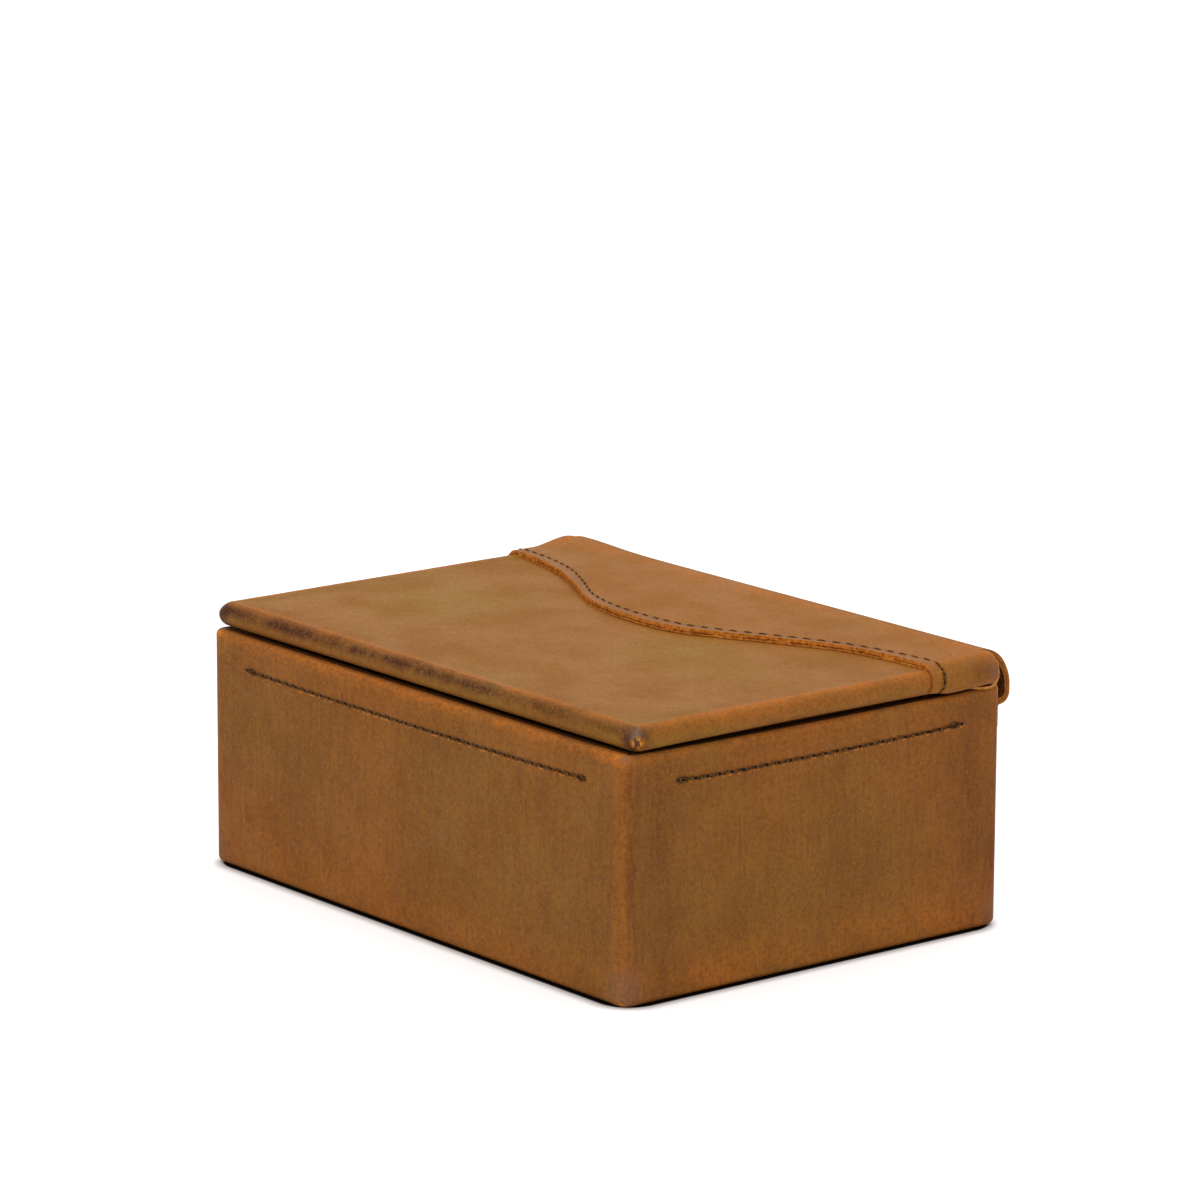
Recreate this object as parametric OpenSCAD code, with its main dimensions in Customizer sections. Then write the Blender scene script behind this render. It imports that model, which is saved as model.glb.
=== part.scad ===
// Leather covered desk box with a lift lid on a looped leather hinge.
// X runs along the front, Y runs to the rear, Z is up; the origin is the middle of the base.

/* [Box] */
// Width of the box over its leather
body_w = 242; // [180:1:320]
// Depth of the box over its leather
body_d = 172.4; // [130:0.1:240]
// Height of the rolled rim
body_h = 88; // [60:1:130]
// Radius of the upright corners
corner_r = 6; // [5.5:0.1:9]
// Radius of the bottom edges
bottom_r = 5.4; // [3.5:0.1:5.5]
// Radius of the rolled rim, outside and inside
rim_r = 3; // [1.5:0.1:3.6]

/* [Leather and boards] */
// Thickness of the outer leather
leather_t = 2.4; // [1.8:0.1:3]
// Thickness of the skived leather where another layer lies on it
skived_t = 1.4; // [0.8:0.1:1.7]
// Thickness of the lining leather
lining_t = 1; // [0.6:0.1:1.4]
// Thickness of the wall boards and of the base board
board_t = 4.2; // [3:0.1:6]
// Height of the leather turned in over the rim, inside the box
turn_in_h = 16.5; // [15:0.5:24]
// Width of the leather turned under the base and under the lid
turn_under = 13; // [10:0.5:20]
// Distance that the base cover stands below the turned-under leather
base_cover_proud = 0.2; // [0.1:0.1:0.6]
// Distance that the lap of the base cover stays inside the round corners
lap_corner_gap = 2; // [1:0.5:3]
// Clearance that lets a panel drop into the opening it closes
panel_fit = 0.1; // [0.05:0.05:0.3]

/* [Lid] */
// Thickness of the board inside the lid
lid_board_t = 4.2; // [3:0.1:6]
// Distance that the lid reaches past each side of the box
lid_overhang = 1.2; // [0.5:0.1:3]
// Distance that the lid stays back from the front and from the rear
lid_set_back = 3.15; // [2:0.05:4.5]
// Gap between the closed lid and the rim
lid_gap = 0.6; // [0.4:0.1:1.5]
// Radius of the upright corners of the lid
lid_corner_r = 5.5; // [5:0.1:7]
// Flat that is left at the middle of the lid's rounded edge
lid_edge_flat = 0.2; // [0.1:0.1:0.6]

/* [Yoke] */
// Thickness of the yoke leather, which is also the hinge
yoke_t = 2.4; // [1.8:0.1:3]
// Distance from the rear of the box to the seam where it meets the sides
seam_rear_gap = 34.7; // [30:0.1:46]
// Distance that the seam dips towards the front at its middle
seam_dip = 34.5; // [20:0.5:45]
// Distance from the side of the lid to where the dip ends
seam_end_gap = 17.2; // [14:0.1:32]
// Distance that the skirts of the yoke reach below the lid
skirt_drop = 0.3; // [0.1:0.1:0.3]

/* [Hinge] */
// Distance from the side of the box to the side of the hinge
hinge_inset = 6; // [6:0.5:20]
// Outer radius of the upper bend of the hinge
hinge_top_r = 14.4; // [13.8:0.1:15]
// Outer radius of the lower bend of the hinge
hinge_low_r = 4.4; // [3.8:0.1:5]
// Outer radius of the tight bend where the hinge leaves the wall
hinge_root_r = 1; // [0.6:0.1:1.2]
// Distance from the rear stitch row up to where the hinge comes free of the wall
hinge_root_rise = 2.1; // [1:0.1:3]
// Height of the flat part that is stitched to the wall
anchor_h = 7; // [5:0.5:12]

/* [Stitching] */
// Diameter of the thread
thread_d = 1; // [0.6:0.1:1.4]
// Length of one stitch with its needle hole
stitch_pitch = 5.2; // [4:0.1:8]
// Share of that length where the thread shows
stitch_share = 0.84; // [0.6:0.02:0.92]
// Distance from the rim down to the stitch rows
row_drop = 12; // [11:0.5:14]
// Distance from a corner to the nearest end of a stitch row
row_end_gap = 23.5; // [15:0.5:35]
// Distance from the seam of the yoke to its stitch row
yoke_row_inset = 4.5; // [3:0.1:7]

/* [Hidden] */
$fn = 64;

// Colours
leather = "#8f5d2b";
lining = "#b98a52";
board = "#9c8e78";
thread = "#3b2a1c";

// A length that takes every cutting shape past the surface it cuts
over = 20;
// A length that carries the pieces of one section into each other
join = 0.01;
// Facets of a thread's section, and of the wide arcs of the seam
thread_fn = 16;
seam_fn = 180;

// Box, from the floor up
cover_z = base_cover_proud;
board_z = cover_z + leather_t;
wall_z = board_z + board_t;
floor_z = wall_z + lining_t;
wall_top_z = body_h - leather_t;
turn_in_z = body_h - turn_in_h;
row_z = body_h - row_drop;

// Box, inward from its outer faces
board_in = leather_t;
lining_in = board_in + board_t;
turn_in_in = lining_in + leather_t;
lap_in = corner_r + lap_corner_gap;
skive_z = board_z - skived_t;

// Lid, from its underside up
lid_z = body_h + lid_gap;
lid_t = leather_t + lid_board_t + leather_t;
lid_top_z = lid_z + lid_t;
lid_board_z = lid_z + leather_t;
lid_edge_r = (lid_t - lid_edge_flat) / 2;
lid_w = body_w + 2 * lid_overhang;
lid_d = body_d - 2 * lid_set_back;
lid_lap_in = lid_corner_r;

// Yoke
yoke_top_z = lid_top_z + yoke_t;
seam_side_y = body_d / 2 - seam_rear_gap;
seam_half_w = lid_w / 2 - seam_end_gap;
seam_r = (seam_half_w * seam_half_w + seam_dip * seam_dip) / (4 * seam_dip);
seam_angle = 2 * atan(seam_dip / seam_half_w);
// Height that the side arcs are raised by, so that they cross their neighbours
seam_cross = 0.02;
skirt_z = lid_z - skirt_drop;

// Hinge: the centres of its three bends, and how far back it stands
hinge_w = body_w - 2 * hinge_inset;
hinge_root_z = row_z + hinge_root_rise;
rear_y = body_d / 2;
root_y = rear_y + yoke_t + hinge_root_r;
low_z = hinge_root_z + hinge_root_r + hinge_low_r;
hinge_y = root_y + hinge_low_r;
top_z = yoke_top_z - hinge_top_r;
top_y = hinge_y - hinge_top_r;

// A rectangle of the given size, centred in X and reaching from y0 to y1
module area(w, y0, y1) {
    translate([-w / 2, y0]) square([w, y1 - y0]);
}

// A box centred on the origin in plan, between two heights
module block(w, d, z0, z1) {
    translate([0, 0, z0]) linear_extrude(z1 - z0) area(w, -d / 2, d / 2);
}

// The outer strip of a rounded box's section, r wide: its outside is at x = r
module edge_section(r, low_r, high_r, z0, z1) {
    translate([0, z0 + low_r]) square([r, z1 - z0 - low_r - high_r]);
    translate([0, z0]) square([r - low_r, low_r + join]);
    translate([0, z1 - high_r - join]) square([r - high_r, high_r + join]);
    intersection() {
        union() {
            translate([r - low_r, z0 + low_r]) circle(low_r);
            translate([r - high_r, z1 - high_r]) circle(high_r);
        }
        translate([0, z0]) square([r, z1 - z0]);
    }
}

// A box with round upright corners and round edges at its bottom and top
module rounded_box(w, d, r, low_r, high_r, z0, z1) {
    block(w - 2 * r, d - 2 * r, z0, z1);
    for (side = [0, 1]) {
        rotate(180 * side) {
            translate([w / 2 - r, d / 2 - r, 0])
                rotate([90, 0, 0])
                    linear_extrude(d - 2 * r) edge_section(r, low_r, high_r, z0, z1);
            translate([r - w / 2, d / 2 - r, 0])
                rotate([90, 0, 90])
                    linear_extrude(w - 2 * r) edge_section(r, low_r, high_r, z0, z1);
            translate([w / 2 - r, d / 2 - r, 0])
                rotate_extrude(angle = 90) edge_section(r, low_r, high_r, z0, z1);
            translate([r - w / 2, d / 2 - r, 0])
                rotate(90)
                    rotate_extrude(angle = 90) edge_section(r, low_r, high_r, z0, z1);
        }
    }
}

// A box with round upright corners and square edges
module upright_box(w, d, r, z0, z1) {
    translate([0, 0, z0]) linear_extrude(z1 - z0) rounded_area(w, d, r);
}

module rounded_area(w, d, r) {
    area(w - 2 * r, -d / 2, d / 2);
    area(w, r - d / 2, d / 2 - r);
    for (x = [r - w / 2, w / 2 - r], y = [r - d / 2, d / 2 - r]) {
        translate([x, y]) circle(r);
    }
}

// The box's outline at a distance inward from its leather faces
module body_core(inward, z0, z1) {
    upright_box(body_w - 2 * inward, body_d - 2 * inward, corner_r - inward, z0, z1);
}

module body_block(inward, z0, z1) {
    block(body_w - 2 * inward, body_d - 2 * inward, z0, z1);
}

// Section of the mouth between two walls: straight below, rolled open at the rim
module mouth_section(span) {
    translate([-span / 2, turn_in_z - over]) square([span, turn_in_h + over]);
    difference() {
        translate([-span / 2 - rim_r, body_h - rim_r]) square([span + 2 * rim_r, rim_r + over]);
        for (side = [-1, 1]) {
            translate([side * (span / 2 + rim_r), body_h - rim_r]) circle(rim_r);
        }
    }
}

module mouth() {
    mouth_w = body_w - 2 * turn_in_in;
    mouth_d = body_d - 2 * turn_in_in;
    intersection() {
        translate([0, body_d / 2, 0]) rotate([90, 0, 0]) linear_extrude(body_d) mouth_section(mouth_w);
        translate([-body_w / 2, 0, 0]) rotate([90, 0, 90]) linear_extrude(body_w) mouth_section(mouth_d);
    }
}

module base_board() {
    color(board)
        rounded_box(body_w - 2 * board_in, body_d - 2 * board_in, corner_r - board_in,
            bottom_r - board_in, 0, board_z, wall_z);
}

// The front and rear boards run the whole width and take the round corners
module long_board() {
    color(board)
        intersection() {
            body_core(board_in, wall_z, wall_top_z);
            translate([0, -body_d / 2 + (board_in + lining_in) / 2, 0])
                block(body_w, board_t, wall_z, wall_top_z);
        }
}

// The side boards stand between the front and rear boards
module short_board() {
    color(board)
        translate([(body_w - board_in - lining_in) / 2, 0, 0])
            block(board_t, body_d - 2 * lining_in, wall_z, wall_top_z);
}

module front_board() {
    long_board();
}

module rear_board() {
    mirror([0, 1, 0]) long_board();
}

module left_board() {
    mirror([1, 0, 0]) short_board();
}

module right_board() {
    short_board();
}

module wall_cover() {
    color(leather) {
        difference() {
            rounded_box(body_w, body_d, corner_r, bottom_r, rim_r, cover_z, body_h);
            rounded_box(body_w - 2 * board_in, body_d - 2 * board_in, corner_r - board_in,
                bottom_r - board_in, 0, board_z, wall_top_z);
            mouth();
            body_block(turn_under, cover_z - over, wall_z);
            body_block(lap_in, cover_z - over, skive_z);
        }
        difference() {
            body_block(lining_in, turn_in_z, wall_top_z);
            mouth();
        }
    }
}

// The underside leather laps onto the skived edge of the wall cover
module base_cover() {
    color(leather) {
        body_block(turn_under + panel_fit, 0, board_z);
        body_block(lap_in + panel_fit, 0, skive_z);
    }
}

module floor_lining() {
    color(lining) body_block(lining_in, wall_z, floor_z);
}

// The wall linings reach from the floor lining to the turned-in leather
module long_lining() {
    color(lining)
        translate([0, -body_d / 2 + lining_in + lining_t / 2, 0])
            block(body_w - 2 * lining_in, lining_t, floor_z, turn_in_z);
}

module short_lining() {
    color(lining)
        translate([body_w / 2 - lining_in - lining_t / 2, 0, 0])
            block(lining_t, body_d - 2 * (lining_in + lining_t), floor_z, turn_in_z);
}

module front_lining() {
    long_lining();
}

module rear_lining() {
    mirror([0, 1, 0]) long_lining();
}

module left_lining() {
    mirror([1, 0, 0]) short_lining();
}

module right_lining() {
    short_lining();
}

// One stitch along X: a half round bar whose flat lies on the XY plane
module stitch(length) {
    rotate([90, 0, 90])
        linear_extrude(length, center = true)
            intersection() {
                circle(d = thread_d, $fn = thread_fn);
                translate([-thread_d, 0]) square([2 * thread_d, thread_d]);
            }
}

// A straight row of stitches along X, centred on the origin
module stitch_row(length) {
    count = round(length / stitch_pitch);
    pitch = length / count;
    for (i = [0:count - 1]) {
        translate([(i + 0.5) * pitch - length / 2, 0, 0]) stitch(pitch * stitch_share);
    }
}

// The two sides of a row through a wall: outside at y = -outer, inside at y = -inner
module wall_stitching(length, outer, inner) {
    color(thread) {
        translate([0, -outer, row_z]) rotate([90, 0, 0]) stitch_row(length);
        translate([0, -inner, row_z]) rotate([-90, 0, 0]) stitch_row(length);
    }
}

module front_stitching() {
    wall_stitching(body_w - 2 * row_end_gap, body_d / 2, body_d / 2 - turn_in_in);
}

// The rear row holds the hinge to the wall
module rear_stitching() {
    rotate(180)
        wall_stitching(body_w - 2 * row_end_gap, body_d / 2 + yoke_t, body_d / 2 - turn_in_in);
}

module right_stitching() {
    rotate(90) wall_stitching(body_d - 2 * row_end_gap, body_w / 2, body_w / 2 - turn_in_in);
}

module left_stitching() {
    rotate(-90) wall_stitching(body_d - 2 * row_end_gap, body_w / 2, body_w / 2 - turn_in_in);
}

// Lays a section in Y and Z out along X, over the width of the hinge
module across_hinge() {
    translate([-hinge_w / 2, 0, 0]) rotate([90, 0, 90]) linear_extrude(hinge_w) children();
}

module hinge_anchor() {
    color(leather)
        across_hinge()
            translate([rear_y, hinge_root_z - anchor_h]) square([yoke_t, anchor_h]);
}

// A quarter of a ring of leather; quarter gives the side that it lies on in Y and Z
module bend(y, z, outer_r, quarter) {
    translate([y, z])
        intersection() {
            difference() {
                circle(outer_r);
                circle(outer_r - yoke_t);
            }
            quarter_square(outer_r, quarter);
        }
}

module quarter_square(r, quarter) {
    translate([min(0, quarter[0] * r), min(0, quarter[1] * r)]) square(r);
}

// The free loop: off the wall, out and round, up and over onto the lid
module hinge_loop() {
    color(leather)
        across_hinge() {
            bend(root_y, hinge_root_z, hinge_root_r + yoke_t, [-1, 1]);
            bend(root_y, low_z, hinge_low_r, [1, -1]);
            translate([hinge_y - yoke_t, low_z]) square([yoke_t, top_z - low_z]);
            bend(top_y, top_z, hinge_top_r, [1, 1]);
        }
}

// The whole lid without its yoke, grown outward by some distance
module lid_shape(grow) {
    rounded_box(lid_w + 2 * grow, lid_d + 2 * grow, lid_corner_r + grow,
        lid_edge_r + grow, lid_edge_r + grow, lid_z - grow, lid_top_z + grow);
}

module lid_block(inward, z0, z1) {
    block(lid_w - 2 * inward, lid_d - 2 * inward, z0, z1);
}

module lid_board() {
    color(board) lid_shape(-leather_t);
}

// The space of the lid's lining: on the board in the middle, over the turned-under
// leather round it, and up round the rear edge of the lid
module lining_space(fit) {
    lining_w = lid_w - 2 * lid_lap_in - 2 * fit;
    difference() {
        lid_block(turn_under + fit, lid_z, lid_board_z);
        lid_block(turn_under + lining_t + fit, lid_z - over, lid_board_z - lining_t);
    }
    difference() {
        translate([0, 0, lid_z])
            linear_extrude(lining_t)
                area(lining_w, lid_lap_in + fit - lid_d / 2, lid_d / 2 - lid_edge_r);
        lid_block(turn_under + lining_t + fit, lid_z - over, lid_z + over);
    }
    translate([-lining_w / 2, 0, 0])
        rotate([90, 0, 90])
            linear_extrude(lining_w)
                rear_wrap_section();
}

// The lining's wrap round the rear edge, from the underside to just below the yoke
module rear_wrap_section() {
    wrap_y = lid_d / 2 - lid_edge_r;
    difference() {
        union() {
            intersection() {
                union() {
                    translate([wrap_y, lid_z + lid_edge_r]) circle(lid_edge_r);
                    translate([wrap_y, lid_top_z - lid_edge_r]) circle(lid_edge_r);
                }
                translate([wrap_y, lid_z]) square([lid_edge_r, lid_t - lining_t]);
            }
            translate([wrap_y, lid_z + lid_edge_r]) square([lid_edge_r, lid_edge_flat]);
        }
        translate([wrap_y, lid_z + lid_edge_r]) circle(lid_edge_r - lining_t);
        translate([wrap_y, lid_top_z - lid_edge_r]) circle(lid_edge_r - lining_t);
        translate([wrap_y, lid_z + lid_edge_r]) square([lid_edge_r - lining_t, lid_edge_flat]);
    }
}

module lid_cover() {
    color(leather)
        difference() {
            lid_shape(0);
            lid_shape(-leather_t);
            lid_block(turn_under, lid_z - over, lid_board_z + lid_board_t / 2);
            lining_space(0);
        }
}

module lid_lining() {
    color(lining) lining_space(panel_fit);
}

// Plan of the yoke: everything behind the seam, which dips in one arc between two others
module yoke_area(rear_limit) {
    yoke_w = lid_w + 2 * over;
    seam_mid_y = seam_side_y - seam_dip / 2;
    difference() {
        union() {
            area(yoke_w, seam_side_y, rear_limit);
            polygon([[-seam_half_w, seam_side_y], [-seam_half_w / 2, seam_mid_y],
                [seam_half_w / 2, seam_mid_y], [seam_half_w, seam_side_y]]);
            intersection() {
                translate([0, seam_side_y - seam_dip + seam_r]) circle(seam_r, $fn = seam_fn);
                area(seam_half_w, seam_side_y - seam_dip, seam_mid_y);
            }
        }
        for (side = [-1, 1]) {
            translate([side * seam_half_w, seam_side_y - seam_r + seam_cross])
                circle(seam_r, $fn = seam_fn);
        }
    }
}

// The yoke lies over the rear of the lid and down its sides; its tongue is the hinge
module lid_yoke() {
    skirt_end_y = lid_d / 2 - lining_t;
    color(leather)
        difference() {
            intersection() {
                lid_shape(yoke_t);
                translate([0, 0, skirt_z]) linear_extrude(lid_t + over) yoke_area(skirt_end_y);
            }
            lid_shape(0);
            lid_block(lid_edge_r, lid_z - over, lid_z + lid_edge_r);
            translate([0, 0, lid_z - over]) linear_extrude(lid_edge_r / 2 + over) area(hinge_w, 0, lid_d);
            translate([0, 0, lid_z]) linear_extrude(lid_t + over) area(hinge_w, top_y, lid_d);
        }
}

// Stitches on an arc about the origin, from one angle to another, on the lid's top
module stitch_arc(r, from, to) {
    length = r * (to - from) * PI / 180;
    count = round(length / stitch_pitch);
    step = (to - from) / count;
    for (i = [0:count - 1]) {
        rotate(from + (i + 0.5) * step)
            translate([0, -r, 0])
                stitch(length / count * stitch_share);
    }
}

module yoke_stitching() {
    end_length = lid_w / 2 - lid_edge_r - seam_half_w;
    color(thread)
        translate([0, seam_side_y, yoke_top_z]) {
            translate([0, seam_r - seam_dip, 0])
                stitch_arc(seam_r - yoke_row_inset, -seam_angle, seam_angle);
            for (side = [0, 1]) {
                mirror([side, 0, 0]) {
                    translate([seam_half_w, -seam_r, 0])
                        rotate(180)
                            stitch_arc(seam_r + yoke_row_inset, 0, seam_angle);
                    translate([seam_half_w + end_length / 2, yoke_row_inset, 0])
                        stitch_row(end_length);
                }
            }
        }
}

base_board();
front_board();
rear_board();
left_board();
right_board();
wall_cover();
base_cover();
floor_lining();
front_lining();
rear_lining();
left_lining();
right_lining();
front_stitching();
rear_stitching();
left_stitching();
right_stitching();
hinge_anchor();
hinge_loop();
lid_board();
lid_cover();
lid_lining();
lid_yoke();
yoke_stitching();
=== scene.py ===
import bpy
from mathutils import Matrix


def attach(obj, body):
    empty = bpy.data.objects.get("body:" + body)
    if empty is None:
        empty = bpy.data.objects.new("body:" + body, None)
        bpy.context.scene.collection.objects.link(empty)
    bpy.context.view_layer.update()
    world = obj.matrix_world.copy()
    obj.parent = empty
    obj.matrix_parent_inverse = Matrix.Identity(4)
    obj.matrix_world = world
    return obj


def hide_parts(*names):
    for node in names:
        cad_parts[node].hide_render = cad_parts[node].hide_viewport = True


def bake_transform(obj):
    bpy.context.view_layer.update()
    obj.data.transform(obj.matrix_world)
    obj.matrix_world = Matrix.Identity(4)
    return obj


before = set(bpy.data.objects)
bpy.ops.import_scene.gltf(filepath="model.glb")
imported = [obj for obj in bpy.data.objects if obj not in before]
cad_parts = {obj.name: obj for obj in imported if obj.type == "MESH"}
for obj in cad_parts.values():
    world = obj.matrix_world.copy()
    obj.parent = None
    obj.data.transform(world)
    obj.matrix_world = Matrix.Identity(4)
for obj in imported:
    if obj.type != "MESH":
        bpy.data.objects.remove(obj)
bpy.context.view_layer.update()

import math

import bmesh
import bpy
import numpy as np
from mathutils import Matrix, Vector

# --------------------------------------------------------------------
# The boards: grey fibre board, cut to size and glued up as a box and as a lid.
# Leather covers them on every side, so they keep their solids and get a plain pulp finish.
# --------------------------------------------------------------------
BOARDS = ["base_board", "front_board", "rear_board", "left_board", "right_board", "lid_board"]


def rgb(red, green, blue):
    """A colour as a screen shows it, 0 to 255, turned into the linear colour that shaders take."""
    c = np.array([red, green, blue]) / 255
    linear = np.where(c <= 0.04045, c / 12.92, ((c + 0.055) / 1.055) ** 2.4)
    return (*linear.tolist(), 1.0)


def node_adder(tree):
    """A function that adds one node to a tree. It takes the node's type, its inputs by socket,
    each a plain value or another node's output, and its settings."""
    def add(kind, inputs, **settings):
        made = tree.nodes.new("ShaderNode" + kind)
        for key, value in settings.items():
            setattr(made, key, value)
        for socket, value in inputs.items():
            if isinstance(value, bpy.types.NodeSocket):
                tree.links.new(value, made.inputs[socket])
            else:
                made.inputs[socket].default_value = value
        return made

    return add


def new_finish(name, roughness, specular):
    """Starts a material, and returns it with its shader and a function that adds a node."""
    finish = bpy.data.materials.new(name)
    finish.use_nodes = True
    shader = finish.node_tree.nodes["Principled BSDF"]
    shader.inputs["Roughness"].default_value = roughness
    shader.inputs["Specular IOR Level"].default_value = specular
    return finish, shader, node_adder(finish.node_tree)


def tools_for(add):
    """The small steps that every finish here is made of, built on its add function: a noise
    of a given grain size, a mix of two colours, a smooth ramp between two values, and
    arithmetic on one or two numbers."""
    place = add("TexCoord", {}).outputs["Object"]

    def noise(size, detail=3.0, rough=0.55, stretch=(1, 1, 1)):
        spread = add("Mapping", {"Vector": place, "Scale": [k / size for k in stretch]})
        return add("TexNoise", {"Vector": spread.outputs[0], "Scale": 1.0, "Detail": detail,
                                "Roughness": rough}).outputs["Fac"]

    def mix(amount, first, second):
        return add("Mix", {0: amount, 6: first, 7: second}, data_type="RGBA").outputs[2]

    def ramp(value, low, high, to_low=0.0, to_high=1.0):
        return add("MapRange", {"Value": value, "From Min": low, "From Max": high,
                                "To Min": to_low, "To Max": to_high},
                   interpolation_type="SMOOTHSTEP").outputs[0]

    def calc(operation, first, second=0.0):
        return add("Math", {0: first, 1: second}, operation=operation).outputs[0]

    return noise, mix, ramp, calc


def coat(shader, add, tone, height, strength, distance):
    """Gives a shader its colour, and its fine relief from a height."""
    links = shader.id_data.links
    links.new(tone, shader.inputs["Base Color"])
    bump = add("Bump", {"Height": height, "Strength": strength, "Distance": distance})
    links.new(bump.outputs[0], shader.inputs["Normal"])


def board_finish():
    """Pressed grey pulp in soft clouds, with darker flecks."""
    finish, shader, add = new_finish("fibre_board", 0.85, 0.2)
    noise, mix, ramp, _ = tools_for(add)
    tone = mix(ramp(noise(0.012), 0.35, 0.65), rgb(128, 117, 99), rgb(158, 146, 124))
    flecks = mix(ramp(noise(0.0012, 2), 0.6, 0.7), tone, rgb(96, 84, 68))
    coat(shader, add, flecks, noise(0.0008), 0.3, 0.0002)
    return finish


fibre_board = board_finish()
for node in BOARDS:
    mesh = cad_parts[node].data
    mesh.materials.clear()
    mesh.materials.append(fibre_board)

# --------------------------------------------------------------------
# The wall leather: one thick oiled hide, wrapped round all four walls, rolled over the rim
# and glued down inside, and turned under the base. Its cut edges show paler, raw hide.
# --------------------------------------------------------------------
MM = 0.001
GRAIN, CUT, FLESH = 0, 1, 2
BOX_W, BOX_D, BOX_CORNER = 0.242, 0.1724, 0.006
# The height of a stitch row, and how far its two ends stand above its middle
ROW_Z, ROW_SMILE = 0.076, 0.0007
# One stitch row to a wall: the wall, where the row starts and ends along it, and its stitches
ROWS = {"front": (-0.0978, 0.096, 38), "right": (-0.0605, 0.0658, 24),
        "rear": (-0.0975, 0.0975, 38), "left": (-0.0627, 0.0627, 24)}


def line(start, *stops):
    """Points in straight lines from start by way of each stop, without the last one. A stop
    is a point, followed by the number of steps to it."""
    runs = []
    for *stop, steps in stops:
        t = np.linspace(0, 1, steps, endpoint=False)[:, None]
        runs.append(np.array(start) * (1 - t) + np.array(stop) * t)
        start = stop
    return np.concatenate(runs)


def bow(centre, radius, start, end, steps):
    """Points on an arc about centre, from one angle to another in degrees, without the end."""
    t = np.radians(np.linspace(start, end, steps, endpoint=False))
    return np.array(centre) + radius * np.stack([np.cos(t), np.sin(t)], 1)


def round_ring(width, depth, corner, inset, step, corner_steps, least=0.0012):
    """Outlines of a rectangle with round corners, one for each inset from its faces.
    A corner's arc has the radius corner - inset, but at least a small one, which shrinks to
    nothing where the insets meet in the middle. Returns x, y and the side each point is on,
    from 0 at the front round to 3 at the left, or -1 in a corner."""
    inset = inset[:, None]
    radius = np.maximum(corner - inset, np.minimum(least, depth / 2 - inset))
    far_x, far_y = width / 2 - inset - radius, depth / 2 - inset - radius
    across = np.linspace(-1, 1, round(width / step))[None, 1:-1]
    along = np.linspace(-1, 1, round(depth / step))[None, 1:-1]
    turn = np.linspace(0, np.pi / 2, corner_steps)[None]
    s, c, flat = np.sin(turn), np.cos(turn), radius + far_x * 0
    x = [across * far_x, far_x + radius * s, far_x + flat + along * 0, far_x + radius * c,
         -across * far_x, -far_x - radius * s, -far_x - flat + along * 0, -far_x - radius * c]
    y = [-far_y - flat + across * 0, -far_y - radius * c, along * far_y, far_y + radius * s,
         far_y + flat + across * 0, far_y + radius * c, -along * far_y, -far_y - radius * s]
    side = np.concatenate([np.full(part.shape[1], number)
                           for part, number in zip(x, (0, -1, 1, -1, 2, -1, 3, -1))])
    return np.concatenate(x, 1), np.concatenate(y, 1), side


def join_parts(*groups):
    """One path in metres from parts in millimetres, which are grouped by the kind of surface
    along them, and the kind at each of its points."""
    runs = [np.concatenate(parts) for kind, parts in groups]
    kinds = np.repeat([kind for kind, parts in groups], [len(run) for run in runs])
    return np.concatenate(runs) * MM, kinds


def grid_faces(rows, columns, closed_rows, closed_columns):
    """Four-cornered faces of a grid of points numbered row by row, closed or open each way."""
    r = np.arange(rows if closed_rows else rows - 1)[:, None]
    c = np.arange(columns if closed_columns else columns - 1)[None]
    r2, c2 = (r + 1) % rows, (c + 1) % columns
    corners = [r * columns + c, r * columns + c2, r2 * columns + c2, r2 * columns + c]
    return np.stack([k.ravel() for k in corners], 1)


def new_object(name, data):
    """Puts a mesh, a lamp or a camera into the scene as an object."""
    made = bpy.data.objects.new(name, data)
    bpy.context.collection.objects.link(made)
    return made


def make_piece(name, points, faces, finishes, kinds=None, marks=None, sharp=50):
    """Puts points and faces into a mesh, merges doubles and turns its faces outward, which
    is where the volume under them, summed face by face, comes out positive.
    kinds picks each face's finish, and marks are values kept on the points for the finish."""
    p, q, r, s = (points[faces[:, k]] for k in range(4))
    if (np.cross(p, q) * r + np.cross(p, r) * s).sum() < 0:
        faces = faces[:, ::-1]
    mesh = bpy.data.meshes.new(name)
    mesh.from_pydata(points.tolist(), [], faces.tolist())
    for finish in finishes:
        mesh.materials.append(finish)
    if kinds is not None:
        mesh.polygons.foreach_set("material_index", np.asarray(kinds, np.int32))
    for key, values in (marks or {}).items():
        kept = mesh.attributes.new(key, "FLOAT", "POINT")
        kept.data.foreach_set("value", np.asarray(values, np.float32).ravel())
    shell = bmesh.new()
    shell.from_mesh(mesh)
    bmesh.ops.remove_doubles(shell, verts=shell.verts, dist=2e-6)
    bmesh.ops.dissolve_degenerate(shell, edges=shell.edges, dist=1e-7)
    shell.to_mesh(mesh)
    shell.free()
    mesh.shade_smooth()
    mesh.set_sharp_from_angle(angle=math.radians(sharp))
    return new_object(name, mesh)


def ripple(points, size, seed):
    """A smooth wandering value between about -1 and 1: a sum of five plain waves in fixed
    directions, each shorter and weaker than the last, for hide that isn't dead flat."""
    turns = np.random.default_rng(seed)
    total = np.zeros(points.shape[:-1])
    for k in range(5):
        direction = turns.normal(size=3)
        direction *= 2 * np.pi * (1.5 ** k) / size / np.linalg.norm(direction)
        total += np.sin(points @ direction + turns.uniform(0, 6.28)) / (1.35 ** k)
    return total / 2.4


def marked(add, key):
    """The value of a mark that is kept on the points."""
    return add("Attribute", {}, attribute_name=key).outputs["Fac"]


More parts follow.
